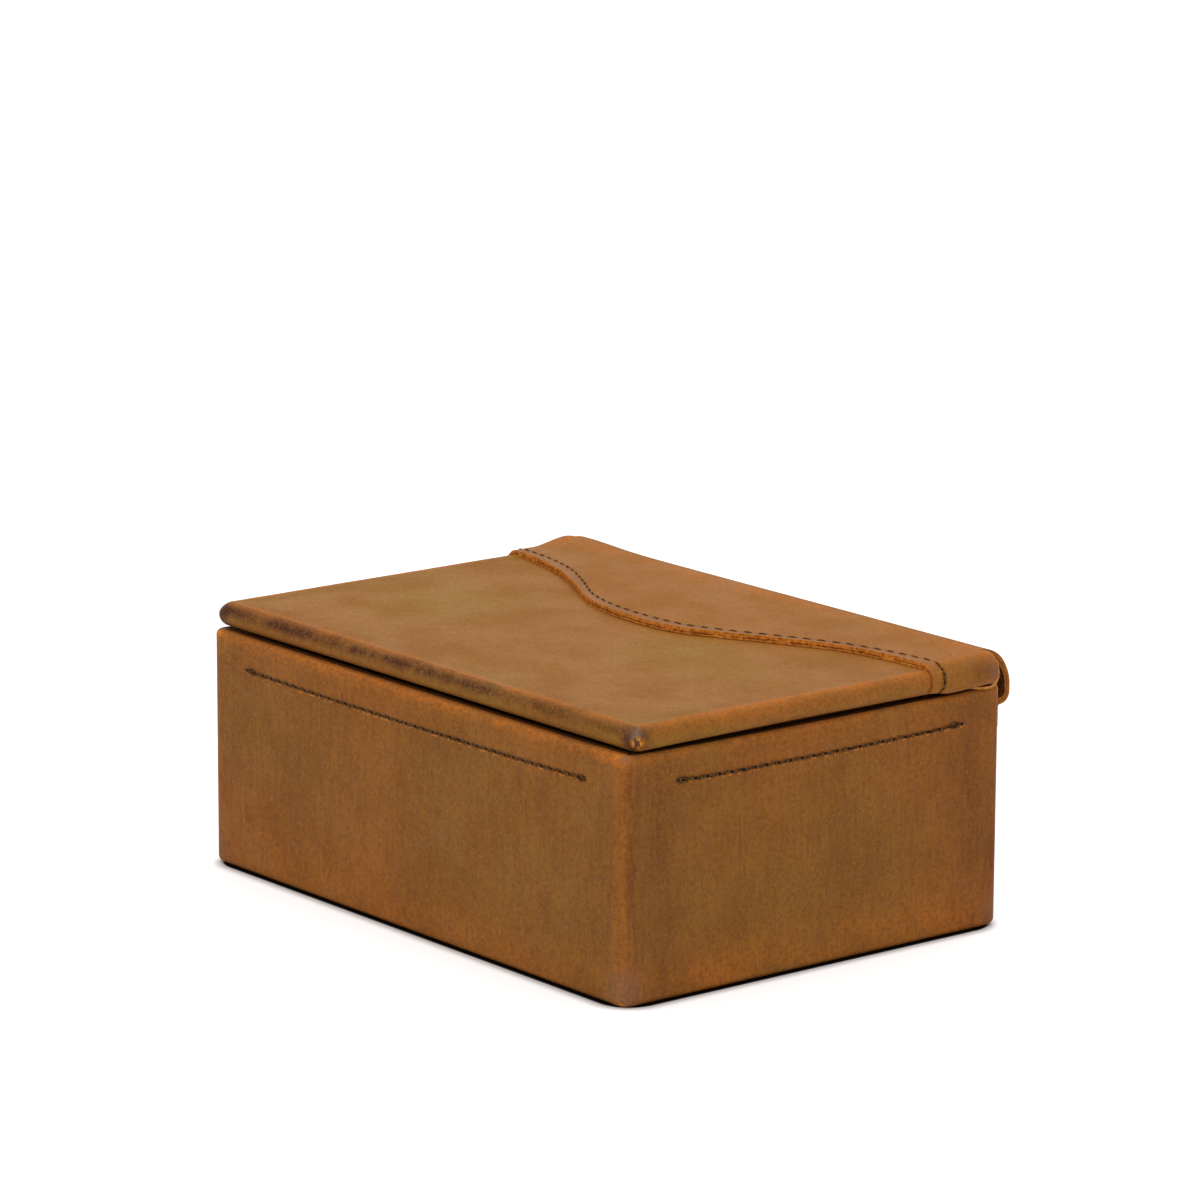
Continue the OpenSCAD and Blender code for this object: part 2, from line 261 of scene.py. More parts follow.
def leather_finish(name, light, deep, olive, row=False):
    """Oiled pull-up hide. Broad clouds mix a light, a deep and an olive brown under a fine grain
    with faint streaks. The oil has moved away where the hide is bent (mark rub, orange); in a
    few places that mark also holds painted light. The oil has gathered where hands and tools
    press it (mark dark, purple brown), and in places that mark is painted shade. Corners show
    raw spots and a painted grey sheen, a painted highlight (mark sheen). The rim under the lid
    and the lid's lower edge are painted nearly black, painted shade for the gap between them
    (mark shade)."""
    finish, shader, add = new_finish(name, 0.62, 0.09)
    glint = [0.5 * k + 0.5 * j for k, j in zip(light, rgb(206, 140, 68))]
    ash = [0.4 * k + 0.6 * j for k, j in zip(deep, rgb(150, 128, 112))]
    noise, mix, ramp, calc = tools_for(add)
    patches = noise(0.024, 3, 0.55)
    speck = noise(0.0015, 4, 0.75)
    grit = noise(0.0011, 4, 0.75)
    streak = noise(0.0022, 4, 0.65, (1, 1, 0.12))
    tone = mix(ramp(noise(0.075, 3, 0.5), 0.34, 0.66), light, olive)
    tone = mix(ramp(patches, 0.36, 0.72, 0, 0.35), tone, deep)
    tone = mix(ramp(streak, 0.42, 0.7, 0, 0.38), tone, deep)
    tone = mix(ramp(noise(0.011, 4, 0.6), 0.5, 0.75, 0, 0.2), tone, light)
    tone = mix(ramp(speck, 0.45, 0.62, 0, 0.5), tone, deep)
    tone = mix(ramp(grit, 0.52, 0.66, 0, 0.5), tone, glint)
    tone = mix(ramp(noise(0.0017, 4, 0.7, (1, 1, 0.4)), 0.5, 0.64, 0, 0.16), tone, ash)
    tone = mix(calc("MULTIPLY", marked(add, "strip"), 0.6), tone, rgb(154, 108, 74))

    # Orange where the oil has moved away from bent hide; in a few places this mark also holds
    # painted light.
    rub_and_painted_light = calc("MULTIPLY", marked(add, "rub_and_painted_light"), ramp(noise(0.016, 4, 0.6), 0.32, 0.58, 0.3, 1))
    tone = mix(calc("MULTIPLY", rub_and_painted_light, ramp(speck, 0.6, 0.42, 0.25, 1)), tone, rgb(196, 114, 40))
    dark = calc("MULTIPLY", marked(add, "dark"), ramp(noise(0.018, 5, 0.75), 0.34, 0.6, 0.45, 1))
    tone = mix(calc("MULTIPLY", dark, ramp(grit, 0.62, 0.42, 0.6, 1)), tone, rgb(80, 43, 26))
    creases = ramp(noise(0.014, 5, 0.7, (1, 1, 0.4)), 0.3, 0.62, 0.4, 1)
    fold = calc("MULTIPLY", marked(add, "fold"), creases)
    tone = mix(calc("MULTIPLY", fold, ramp(streak, 0.35, 0.6, 0.5, 1)), tone, rgb(100, 52, 34))
    # A painted highlight: a grey sheen on the corners (mark sheen).
    tone = mix(calc("MULTIPLY", marked(add, "sheen"), ramp(grit, 0.62, 0.4, 0.35, 0.85)), tone,
               rgb(142, 118, 104))
    raw = calc("MULTIPLY", marked(add, "raw"), ramp(noise(0.0016, 2), 0.4, 0.55))
    tone = mix(raw, tone, rgb(226, 142, 44))
    # Painted shade: nearly black where the rim and the lid's lower edge face the gap between them
    # (mark shade).
    tone = mix(marked(add, "shade"), tone, rgb(34, 20, 12))

    height = calc("MULTIPLY", noise(0.0007, 3, 0.6), 0.5)
    height = calc("ADD", height, calc("MULTIPLY", patches, 0.6))
    height = calc("ADD", height, calc("MULTIPLY", noise(0.0026, 2), 0.35))
    if row:
        # A row of needle holes: row_u counts the stitches along it, and row_v is how far off
        # it a point lies, in millimetres. Each hole is a dark oval of painted shade in a pressed
        # bed, with pale crumbs of hide below it.
        beat, off = marked(add, "row_u"), marked(add, "row_v")
        along = calc("SUBTRACT", calc("FRACT", calc("ADD", beat, 0.5)), 0.5)
        reach = calc("ADD", calc("POWER", calc("MULTIPLY", along, 4.6), 2.0),
                     calc("POWER", calc("MULTIPLY", off, 1.2), 2.0))
        gate = calc("MULTIPLY", calc("GREATER_THAN", beat, -0.2), marked(add, "row_on"))
        hole = calc("MULTIPLY", gate, ramp(calc("SQRT", reach), 0.85, 0.5))
        bed = calc("MULTIPLY", gate, ramp(calc("ABSOLUTE", off), 1.5, 0.3))
        crumbs = calc("MULTIPLY", gate, calc("MULTIPLY", ramp(off, -1.6, -1.0),
                                             ramp(off, -0.4, -0.8)))
        crumbs = calc("MULTIPLY", crumbs, ramp(noise(0.0022, 3), 0.48, 0.58))
        tone = mix(calc("MULTIPLY", bed, 0.35), tone, rgb(84, 50, 24))
        tone = mix(calc("MULTIPLY", crumbs, 0.85), tone, rgb(208, 126, 50))
        # Painted shade: each needle hole nearly black.
        tone = mix(hole, tone, rgb(12, 8, 6))
        height = calc("SUBTRACT", height, calc("MULTIPLY", bed, 1.6))
        height = calc("SUBTRACT", height, calc("MULTIPLY", hole, 2.5))
        height = calc("ADD", height, calc("MULTIPLY", crumbs, 1.2))
    shader.id_data.links.new(ramp(patches, 0.3, 0.7, 0.56, 0.7), shader.inputs["Roughness"])
    coat(shader, add, tone, height, 0.5, 0.0002)
    return finish


def cut_finish(name, pale, deep):
    """A cut edge of the hide: bright fibres in two layers, parted halfway through the hide
    (mark depth runs from 0 at the grain to 1 at the flesh side) by a broken dark line. Where
    the hide is pared thin and pressed flat (mark plain), the fibres are dull."""
    finish, shader, add = new_finish(name, 0.85, 0.06)
    noise, mix, ramp, calc = tools_for(add)
    fibres = noise(0.0016, 4, 0.7)
    tone = mix(ramp(fibres, 0.36, 0.6), deep, pale)
    tone = mix(ramp(noise(0.0006, 2), 0.58, 0.72, 0, 0.55), tone, rgb(104, 56, 22))
    depth = marked(add, "depth")
    wobble = calc("MULTIPLY", calc("SUBTRACT", noise(0.003, 3), 0.5), 0.5)
    away = calc("ABSOLUTE", calc("SUBTRACT", calc("ADD", depth, wobble), 0.62))
    split = calc("MULTIPLY", ramp(away, 0.13, 0.04), ramp(noise(0.004, 2), 0.35, 0.5))
    tone = mix(calc("MULTIPLY", split, 0.65), tone, rgb(88, 44, 18))
    tone = mix(calc("MULTIPLY", marked(add, "plain"), 0.65), tone, rgb(150, 90, 40))
    height = calc("SUBTRACT", fibres, calc("MULTIPLY", split, 0.6))
    coat(shader, add, tone, height, 0.9, 0.0005)
    return finish


def flesh_finish():
    """The inner side of the hide: dark, dry and matted."""
    finish, shader, add = new_finish("flesh_side", 0.95, 0.04)
    noise, mix, ramp, _ = tools_for(add)
    mat = noise(0.0016, 5, 0.75)
    tone = mix(ramp(mat, 0.35, 0.65), rgb(80, 42, 22), rgb(150, 92, 48))
    coat(shader, add, tone, mat, 1.0, 0.0006)
    return finish


def near(value, middle, reach):
    """A smooth hump: 1 where value is at middle, and near 0 from reach away."""
    return np.exp(-((value - middle) / (reach * 0.55)) ** 2)


def spot(points, centre, reach):
    """A smooth round spot about centre, the same at all four corners of the box."""
    away = np.abs(points) - np.array(centre)
    return np.exp(-(np.linalg.norm(away, axis=-1) / (reach * 0.6)) ** 2)


wall_hide = leather_finish("wall_hide", rgb(166, 101, 39), rgb(123, 72, 34),
                           rgb(153, 103, 41), row=True)
cut_edge = cut_finish("cut_edge", rgb(236, 150, 58), rgb(176, 102, 38))
flesh_side = flesh_finish()

# From the turn-in under the base, up the outer face, over the rim and down inside; then back
# along the flesh side
section, kinds = join_parts(
    (GRAIN, [line((13, 1.2), (8, 1.2, 2), (8, 0.2, 1), (2.6, 0.2, 3)),
             bow((2.6, 2.8), -2.6, 90, 0, 8),
             line((0, 2.8), (0, 72.5, 17), (0, 79, 7), (0, 86.1, 6)),
             bow((1.9, 86.1), 1.9, 180, 90, 8), line((1.9, 88), (6, 88, 4)),
             bow((6, 85), 3, 90, 0, 6), line((9, 85), (9, 71.8, 6))]),
    (CUT, [line((9, 71.8), (8.7, 71.5, 1), (6.6, 71.5, 1))]),
    (FLESH, [line((6.6, 71.5), (6.6, 85.6, 1), (2.4, 85.6, 1), (2.4, 5.6, 1), (5.4, 2.6, 1),
                  (13, 2.6, 1))]),
    (CUT, [line((13, 2.6), (13, 1.2, 1))]))
x, y, side = round_ring(BOX_W, BOX_D, BOX_CORNER, section[:, 0], 0.0014, 11)
z = np.repeat(section[:, 1:], x.shape[1], 1)
wall = np.stack([x, y, z], -1)

# at_end tells the right and the left wall from the front and the rear, and round_corner is how
# far round the upright corner a point lies, above 0 on the right and the left wall
past_x, past_y = np.abs(x) - BOX_W / 2, np.abs(y) - BOX_D / 2
upright_fold = np.exp(-(np.hypot(past_x + 0.003, past_y + 0.003) / 0.0062) ** 2)
round_corner = past_x - past_y
outside = (section[:, 0] < 0.003)[:, None] & (kinds == GRAIN)[:, None]
swell = ripple(wall, 0.11, 3) * 0.00022 + ripple(wall, 0.03, 8) * 0.00005
swell *= outside * (1 - upright_fold)
swell *= np.clip((z - 0.005) / 0.012, 0, 1) * np.clip((0.088 - z) / 0.006, 0, 1)
at_end = np.abs(past_x) < np.abs(past_y)
wall[..., 0] += np.sign(x) * swell * at_end
wall[..., 1] += np.sign(y) * swell * ~at_end
# The rim sags a little along each wall and stands up a little at the corners
high_up = np.clip((z - 0.078) / 0.01, 0, 1) ** 2
sag = np.where(at_end, 0.0005, 0.0001) * (1 - np.where(at_end, y / 0.0862, x / 0.121) ** 2)
wall[..., 2] += high_up * (0.0003 * np.exp(-(np.hypot(past_x, past_y) / 0.016) ** 2)
                           - np.maximum(sag, 0))

FAR_OFF = 9
row_u, row_v, row_on = x * 0 - FAR_OFF, x * 0 + FAR_OFF, x * 0
for number, (key, along) in enumerate((("front", x), ("right", y), ("rear", -x), ("left", -y))):
    low, high, count = ROWS[key]
    here = np.broadcast_to(side == number, x.shape)
    at = (along - low) / (high - low)
    row_u = np.where(here, at * count, row_u)
    row_v = np.where(here, (z - ROW_Z - ROW_SMILE * (2 * at - 1) ** 4) * 1000, row_v)
    row_on = np.where(here & (at > -0.01) & (at < 1.01), 1.0, row_on)
marks = {
    "rub_and_painted_light": near(wall[..., 2], 0.0868, 0.0042) * (kinds == GRAIN)[:, None]
    * np.where(at_end, 0.6, 1.0 + 0.25 * np.clip(x / 0.1, -1, 1))
    # The last term is lighter near the bottom, more on the right and left walls: partly rubbed hide
    # at the turn, partly painted light against the shade near the floor.
    + near(z, 0.080, 0.009) * 0.25 + near(z, 0.006, 0.018) * np.where(at_end, 0.65, 0.35)
    + near(round_corner, -0.0015, 0.0085) * 0.45,
    # Painted shade: the first term darkens the hide where it turns under at the very bottom.
    "dark": near(z, 0.0004, 0.002) * 0.3 + 0.24 * near(round_corner, 0.0145, 0.014),
    "fold": (near(round_corner, 0.0034, 0.0062) * 0.36 + near(round_corner, 0.002, 0.04) * 0.2)
    * np.clip((0.087 - z) / 0.006, 0, 1),
    # A painted highlight: grey sheen spots low and high on each upright corner.
    "sheen": spot(wall, (0.1195, 0.0852, 0.006), 0.011) * 0.55
    + 0.7 * spot(wall, (0.1192, 0.0848, 0.0874), 0.003),
    "raw": spot(wall, (0.1155, 0.0856, 0.0873), 0.0024)
    + spot(wall, (0.118, 0.0842, 0.0012), 0.002),
    # Painted shade: the top of the rim, under the lid, is painted nearly black for the shade of the
    # gap.
    "shade": np.clip((section[:, :1] - np.where(at_end, 0.0012, 0.0034)
                      + 0.0005 * at_end * np.clip((y - 0.045) / 0.01, 0, 1)) / 0.0007, 0, 1)
    * (section[:, :1] < 0.0075) * np.clip((z - 0.0872) / 0.0005, 0, 1) * 0.85,
    "row_u": row_u, "row_v": row_v, "row_on": row_on}
wall_leather = make_piece("wall_leather", wall.reshape(-1, 3), grid_faces(*x.shape, True, True),
                          [wall_hide, cut_edge, flesh_side], np.repeat(kinds, x.shape[1]), marks)
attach(wall_leather, "tray")
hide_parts("wall_cover")

# --------------------------------------------------------------------
# The base leather: a flat panel that closes the underside. Its thin edge laps over the
# leather turned under, and it stands a little proud, so that the box rests on it alone.
# --------------------------------------------------------------------


def closed_panel(path):
    """Closes a section over the middle of the box: the path of insets and heights starts and
    ends at the middle line, where its first and its last outline shrink to nothing."""
    x, y, _ = round_ring(BOX_W, BOX_D, BOX_CORNER, path[:, 0], 0.002, 7)
    z = np.repeat(path[:, 1:], x.shape[1], 1)
    return np.stack([x, y, z], -1), grid_faces(*x.shape, False, True)


half_mm = BOX_D * 500
path = np.concatenate([
    line((half_mm, 0), (9, 0, 24), (8.4, 0, 2), (8.1, 0.3, 1), (8.1, 1.2, 1), (13.1, 1.2, 1),
         (13.1, 2.6, 1), (half_mm, 2.6, 2)), [(half_mm, 2.6)]]) * MM
panel, faces = closed_panel(path)
base_hide = leather_finish("base_hide", rgb(140, 90, 38), rgb(104, 64, 28), rgb(126, 86, 38))
edge = np.repeat(near(path[:, 0], 0.0082, 0.004)[:, None], panel.shape[1], 1)
base_leather = make_piece("base_leather", panel.reshape(-1, 3), faces, [base_hide],
                          marks={"dark": edge * 0.9, "rub_and_painted_light": edge * 0.4})
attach(base_leather, "tray")
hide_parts("base_cover")

# --------------------------------------------------------------------
# The lining of the box: thin suede, one panel on the floor and a band round the walls that
# reaches up to the turned-in leather. Both are glued flat, with soft cut edges.
# --------------------------------------------------------------------


def suede_finish():
    """Suede: a short nap that lies lighter or darker in patches, with fine cloudy grain."""
    finish, shader, add = new_finish("suede", 0.95, 0.08)
    noise, mix, ramp, _ = tools_for(add)
    nap = mix(ramp(noise(0.03, 3), 0.4, 0.62), rgb(172, 126, 79), rgb(158, 112, 68))
    nap = mix(ramp(noise(0.0011, 4, 0.7), 0.4, 0.68, 0, 0.5), nap, rgb(120, 82, 48))
    shader.inputs["Sheen Weight"].default_value = 0.25
    shader.inputs["Sheen Roughness"].default_value = 0.5
    coat(shader, add, nap, noise(0.0008, 4, 0.7), 0.6, 0.0003)
    return finish


suede = suede_finish()
path = np.concatenate([
    line((half_mm, 6.8), (6.7, 6.8, 2), (6.7, 7.5, 1), (7.0, 7.8, 1), (half_mm, 7.8, 30)),
    [(half_mm, 7.8)]]) * MM
panel, faces = closed_panel(path)
panel[..., 2] += (path[:, 1:] > 0.0077) * ripple(panel, 0.07, 21) * 0.0001
floor_suede = make_piece("floor_suede", panel.reshape(-1, 3), faces, [suede])
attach(floor_suede, "tray")
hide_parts("floor_lining")

path = line((7.6, 7.8), (7.6, 71.1, 14), (7.3, 71.5, 1), (6.6, 71.5, 1), (6.6, 7.8, 1),
            (7.6, 7.8, 1)) * MM
x, y, _ = round_ring(BOX_W, BOX_D, BOX_CORNER, path[:, 0], 0.002, 7, least=0.0016)
band = np.stack([x, y, np.repeat(path[:, 1:], x.shape[1], 1)], -1)
wall_suede = make_piece("wall_suede", band.reshape(-1, 3), grid_faces(*x.shape, True, True),
                        [suede])
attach(wall_suede, "tray")
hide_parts("front_lining", "rear_lining", "left_lining", "right_lining")

# --------------------------------------------------------------------
# The lid leather: the main hide over the lid board, wrapped round its full-round edges and
# turned under. Oil is rubbed off along its top edges and has gathered below them.
# --------------------------------------------------------------------
LID_W, LID_D, LID_CORNER = 0.2444, 0.1661, 0.0055
lid_half_mm = LID_D * 500
# From the middle of the top, round the edge and in under the lid; then back along the flesh side
path, kinds = join_parts(
    (GRAIN, [line((lid_half_mm, 97.6), (30, 97.6, 14), (7, 97.6, 14), (4.4, 97.6, 3)),
             bow((4.4, 93.2), 4.4, 90, 180, 10), bow((4.4, 93), 4.4, 180, 270, 10),
             line((4.4, 88.6), (5.5, 88.6, 1))]),
    (FLESH, [line((5.5, 88.6), (5.5, 89.6, 1))]),
    (GRAIN, [line((5.5, 89.6), (13, 89.6, 2))]),
    (CUT, [line((13, 89.6), (13, 91, 1))]),
    (FLESH, [line((13, 91), (4.4, 91, 1), (2.4, 93, 1), (2.4, 93.2, 1), (4.4, 95.2, 1),
                  (lid_half_mm, 95.2, 2)), [(lid_half_mm, 95.2)]]))
x, y, _ = round_ring(LID_W, LID_D, LID_CORNER, path[:, 0], 0.0016, 10)
z = np.repeat(path[:, 1:], x.shape[1], 1)
cover = np.stack([x, y, z], -1)
inset = np.repeat(path[:, :1], x.shape[1], 1)
top = (z > 0.0975) * 1.0
cover[..., 2] += top * (ripple(cover, 0.12, 5) * 0.00018 - 0.00012) * np.clip(inset / 0.02, 0, 1)
edge_round = ((inset < 0.0044) & (kinds == GRAIN)[:, None]) * 1.0
pull = ripple(cover, 0.05, 12) * 0.00012 * edge_round
at_end = np.abs(x) - LID_W / 2 > np.abs(y) - LID_D / 2
cover[..., 0] -= np.sign(x) * pull * at_end
cover[..., 1] -= np.sign(y) * pull * ~at_end
# Under the edge the hide arches up along each side, and it stands out at the left front corner
arch = np.where(at_end, 0.0007 * (1 - (y / 0.0831) ** 2), 0.0001 * (1 - (x / 0.1222) ** 2))
cover[..., 2] += arch * edge_round * np.clip((0.093 - z) / 0.0044, 0, 1)
left_front = np.exp(-((x + 0.1222) / 0.012) ** 2 - ((y + 0.0831) / 0.016) ** 2) * edge_round
cover[..., 0] -= 0.0012 * left_front * np.clip((0.0968 - z) / 0.003, 0, 1)
lid_hide = leather_finish("lid_hide", rgb(170, 111, 48), rgb(136, 84, 32), rgb(162, 118, 42))
burnish = np.where(at_end, np.where(x > 0, 0.3, 1.0), 1.15 - 0.5 * np.clip(x / 0.11, 0, 1))
marks = {
    "rub_and_painted_light": near(inset, 0.0036, 0.0036) * np.clip((z - 0.0962) / 0.001, 0, 1) * 1.1
    + near(z, 0.0960, 0.0052) * edge_round * np.where(at_end & (x > 0), 0.85, 0.15),
    "dark": near(z, 0.0955, 0.0042) * edge_round * burnish + 0.12 * near(inset, 0.009, 0.006) * top
    # Painted shade: darker low on the edge, where it turns under and faces down.
    + 0.2 * near(z, 0.0895, 0.004) * edge_round
    + 1.7 * spot(cover, (0.1208, 0.0812, 0.0925), 0.0082) * edge_round,
    # A painted highlight: a grey sheen at each corner of the lid.
    "sheen": 1.2 * spot(cover, (0.1200, 0.0806, 0.0953), 0.0036),
    "raw": 2.2 * spot(cover, (0.1210, 0.0809, 0.0925), 0.0026),
    # Painted shade: nearly black along the lid's lower edge, over the gap.
    "shade": np.clip((0.0893 - z) / 0.0006, 0, 1) * (inset < 0.0056) * 0.8,
    "fold": 0.7 * spot(cover, (0.1195, 0.0822, 0.0925), 0.004)}
lid_leather = make_piece("lid_leather", cover.reshape(-1, 3), grid_faces(*x.shape, False, True),
                         [lid_hide, cut_edge, flesh_side], np.repeat(kinds[:-1], x.shape[1]), marks)
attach(lid_leather, "lid")
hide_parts("lid_cover")

# --------------------------------------------------------------------
# The lining of the lid: one sheet of suede under the lid, pressed into the shallow step of
# the turned-under leather, and wrapped up round the rear edge, where its cut edge shows.
# --------------------------------------------------------------------


def smooth_curve(points, samples):
    """A smooth curve through points: between two points it is the cubic whose slope at each
    of them is half the step from the point before to the point after."""
    p = np.array(points, float)
    p = np.concatenate([2 * p[:1] - p[1:2], p, 2 * p[-1:] - p[-2:-1]])
    t = np.linspace(0, len(points) - 1, samples)
    k = np.minimum(t.astype(int), len(points) - 2)
    f = (t - k)[:, None]
    a, b, c, d = p[k], p[k + 1], p[k + 2], p[k + 3]
    return 0.5 * (2 * b + (c - a) * f + (2 * a - 5 * b + 4 * c - d) * f ** 2
                  + (3 * b - a - 3 * c + d) * f ** 3)


def even_steps(curve, samples):
    """The same curve with its points spaced evenly along its length."""
    run = np.concatenate([[0], np.cumsum(np.linalg.norm(np.diff(curve, axis=0), axis=1))])
    at = np.linspace(0, run[-1], samples)
    return np.stack([np.interp(at, run, curve[:, k]) for k in range(curve.shape[1])], 1)


def sheet_shell(grain, flesh, cells):
    """Faces of a sheet given as two grids of points, its grain side and its flesh side, and
    the cells of the grid that it fills. A cell with no neighbour gets a cut edge there.
    Returns the points in use, the faces, each face's kind, the numbers of the points in the
    grid, and their depth, 0 on the grain side and 1 on the flesh side."""
    count = grain[..., 0].size
    number = np.arange(count).reshape(grain.shape[:2])
    corner = [number[:-1, :-1], number[:-1, 1:], number[1:, 1:], number[1:, :-1]]
    front = np.stack([k[cells] for k in corner], 1)
    padded = np.pad(cells, 1)
    beyond = [padded[:-2, 1:-1], padded[1:-1, 2:], padded[2:, 1:-1], padded[1:-1, :-2]]
    rims = []
    for k in range(4):
        open_side = cells & ~beyond[k]
        p, q = corner[k][open_side], corner[(k + 1) % 4][open_side]
        rims.append(np.stack([q, p, p + count, q + count], 1))
    rims = np.concatenate(rims)
    faces = np.concatenate([front, front[:, ::-1] + count, rims])
    kinds = np.repeat([GRAIN, FLESH, CUT], [len(front), len(front), len(rims)])
    used, faces = np.unique(faces, return_inverse=True)
    points = np.concatenate([grain.reshape(-1, 3), flesh.reshape(-1, 3)])[used]
    return points, faces.reshape(-1, 4), kinds, used % count, used // count


def ease(t):
    """A smooth rise from 0 to 1: three times the square less twice the cube."""
    t = np.clip(t, 0, 1)
    return t * t * (3 - 2 * t)


LINING_T = 0.001
wrap = even_steps(np.concatenate([
    line((-77.5, 88.6), (62, 88.6, 70)),
    smooth_curve([(62, 88.6), (72, 88.58), (79.6, 88.25), (82.6, 89.6), (83.35, 91.6),
                  (83.3, 94.0), (82.3, 96.0), (80.9, 97.35)], 60)]) * MM, 150)
slope = np.gradient(wrap, axis=0)
inward = np.stack([-slope[:, 1], slope[:, 0]], 1) / np.linalg.norm(slope, axis=1)[:, None]
reach = np.interp(wrap[:, 0], [0.066, 0.075], [0.1166, 0.1222])
spread = np.concatenate([np.linspace(-1, -0.86, 16), np.linspace(-0.83, 0.83, 50),
                         np.linspace(0.86, 1, 16)])
x = spread[None] * reach[:, None]
y, z = (np.repeat(wrap[:, k:k + 1], len(spread), 1) for k in range(2))
from_edge = np.minimum(LID_W / 2 - np.abs(x), LID_D / 2 - np.abs(y))
# The ends hang free under the skirts, and the wrap follows the round corners of the lid
free_end = np.clip((np.abs(x) - 0.116) / 0.005, 0, 1)
z = z - 0.0005 * free_end * near(y, 0.0745, 0.010)
past_flat = np.clip(np.abs(x) - LID_W / 2 + LID_CORNER, 0, LID_CORNER)
round_off = np.minimum(LID_CORNER - np.sqrt(LID_CORNER ** 2 - past_flat ** 2), 0.0013)
y = y - round_off * np.clip((y - 0.076) / 0.006, 0, 1)
# Inside the turned-under leather it is pressed up against the board
z = z + 0.0014 * ease((from_edge - 0.0128) / 0.0028)
grain = np.stack([x, y, z], -1)
flesh = grain + LINING_T * np.pad(inward, ((0, 0), (1, 0)))[:, None]
cells = np.ones((len(wrap) - 1, len(spread) - 1), bool)
points, faces, kinds, _, _ = sheet_shell(grain, flesh, cells)
pale_edge = cut_finish("pale_edge", rgb(224, 152, 78), rgb(190, 120, 54))
lid_suede = make_piece("lid_suede", points, faces, [suede, pale_edge, flesh_side], kinds)
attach(lid_suede, "lid")
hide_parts("lid_lining")

# --------------------------------------------------------------------
# The yoke and the hinge: one thick hide. It is cut to a waved seam across the lid, wraps
# down the lid's sides, and its long tongue loops down behind the box to the rear wall.
# --------------------------------------------------------------------
HIDE_T = 2.4
# All in millimetres: the radius of the hide round the lid's edge, the flat before the bend, the
# straight between its upper and its lower arc, and the heights of the centres of these arcs
EDGE_R, CORNER_FLAT, EDGE_STRAIGHT, HIGH_Z, LOW_Z = 6.8, 1.1, 0.2, 93.2, 93.0
# How far the skirts turn in under the edge, in radians
SKIRT_TURN = 0.763
# The axis of the lid's corner, the seam and the row of stitches, seen from above
AXIS_X, AXIS_Y = 116.7, 77.55
SEAM = [(-134, 51.8), (-122, 52.4), (-101, 49.6), (-79.5, 43.9), (-60, 35.3), (-37, 23.4),
        (-19, 18.6), (-1, 17.0), (19, 18.5), (36, 26.0), (51, 34.0), (66.5, 41.6), (80, 46.9),
        (95, 49.9), (111, 50.9), (122, 50.6), (134, 49.6)]
YOKE_ROW = [(-133.4, 55.4), (-124, 56.6), (-112, 55.2), (-93, 52.0), (-74, 46.3), (-56, 37.2),
            (-39, 27.8), (-21, 22.7), (-1, 21.0), (19, 22.5), (34, 28.1), (50, 36.0), (66, 43.9),
            (82, 50.0), (97, 53.6), (110, 55.2), (120, 55.6), (127, 55.0), (133.4, 53.6)]
YOKE_STITCHES = 49
# Half the width of the tongue, and where the skirt starts beyond the slit beside it
TONGUE_W, SLIT = 115.0, 115.3


def pared(a, from_seam):
    """How much of the hide is pared off along the seam where it goes down the lid's sides."""
    return 1.4 * ease((np.abs(a) - 116) / 6) * ease(1 - from_seam / 9)


def over_lid(a, b, depth):
    """Carries a flat pattern onto the lid. Inside the flat top, a and b stay x and y; past the
    corner's axis the hide bends down over the edge on an arc, and round the lid's corner
    alike, by its distance and its direction from that axis. depth is how far in it lies."""
    p, q = np.maximum(np.abs(a) - AXIS_X, 0), np.maximum(b - AXIS_Y, 0)
    out = np.hypot(p, q)
    quarter = EDGE_R * np.pi / 2
    bend = np.maximum(out - CORNER_FLAT, 0)
    low = np.maximum(bend - quarter - EDGE_STRAIGHT, 0) / EDGE_R
    high = np.minimum(bend, quarter) / EDGE_R
    radius = EDGE_R - depth
    far = CORNER_FLAT + radius * np.where(low > 0, np.cos(low), np.sin(high))
    far = np.where(out < CORNER_FLAT, out, far)
    z = np.where(low > 0, LOW_Z - radius * np.sin(low), HIGH_Z + radius * np.cos(high)
                 - np.clip(bend - quarter, 0, EDGE_STRAIGHT))
    safe = np.maximum(out, 1e-9)
    x = np.sign(a) * (np.minimum(np.abs(a), AXIS_X) + far * p / safe)
    y = np.minimum(b, AXIS_Y) + far * q / safe
    return np.stack([x, y, z], -1)


side_end = AXIS_X + CORNER_FLAT + EDGE_R * np.pi / 2 + EDGE_STRAIGHT + EDGE_R * SKIRT_TURN
right = np.concatenate([np.linspace(0, TONGUE_W - 2, 54)[1:], [TONGUE_W - 1, TONGUE_W, SLIT],
                        np.linspace(SLIT, side_end, 25)[1:]])
a = np.concatenate([-right[::-1], [0], right])
seam = smooth_curve(SEAM, 1200)
seam_b = np.interp(a, seam[:, 0], seam[:, 1])
nibbled = np.stack([a * MM, seam_b * MM, a * 0], -1)
seam_b = seam_b + ripple(nibbled, 0.011, 31) * 0.14 + ripple(nibbled, 0.04, 32) * 0.12
# Over the lid, the pattern runs from the seam back to TOP_END
TOP_END = 79.6
t = np.concatenate([[0, 0.012, 0.03, 0.055, 0.085], np.linspace(0.12, 1, 34)])[:, None]
plan_b = seam_b * (1 - t) + TOP_END * t
sheet_a = np.repeat(a[None], len(t), 0)
yoke_grain = over_lid(sheet_a, plan_b, pared(sheet_a, plan_b - seam_b))
yoke_flesh = over_lid(sheet_a, plan_b, HIDE_T)

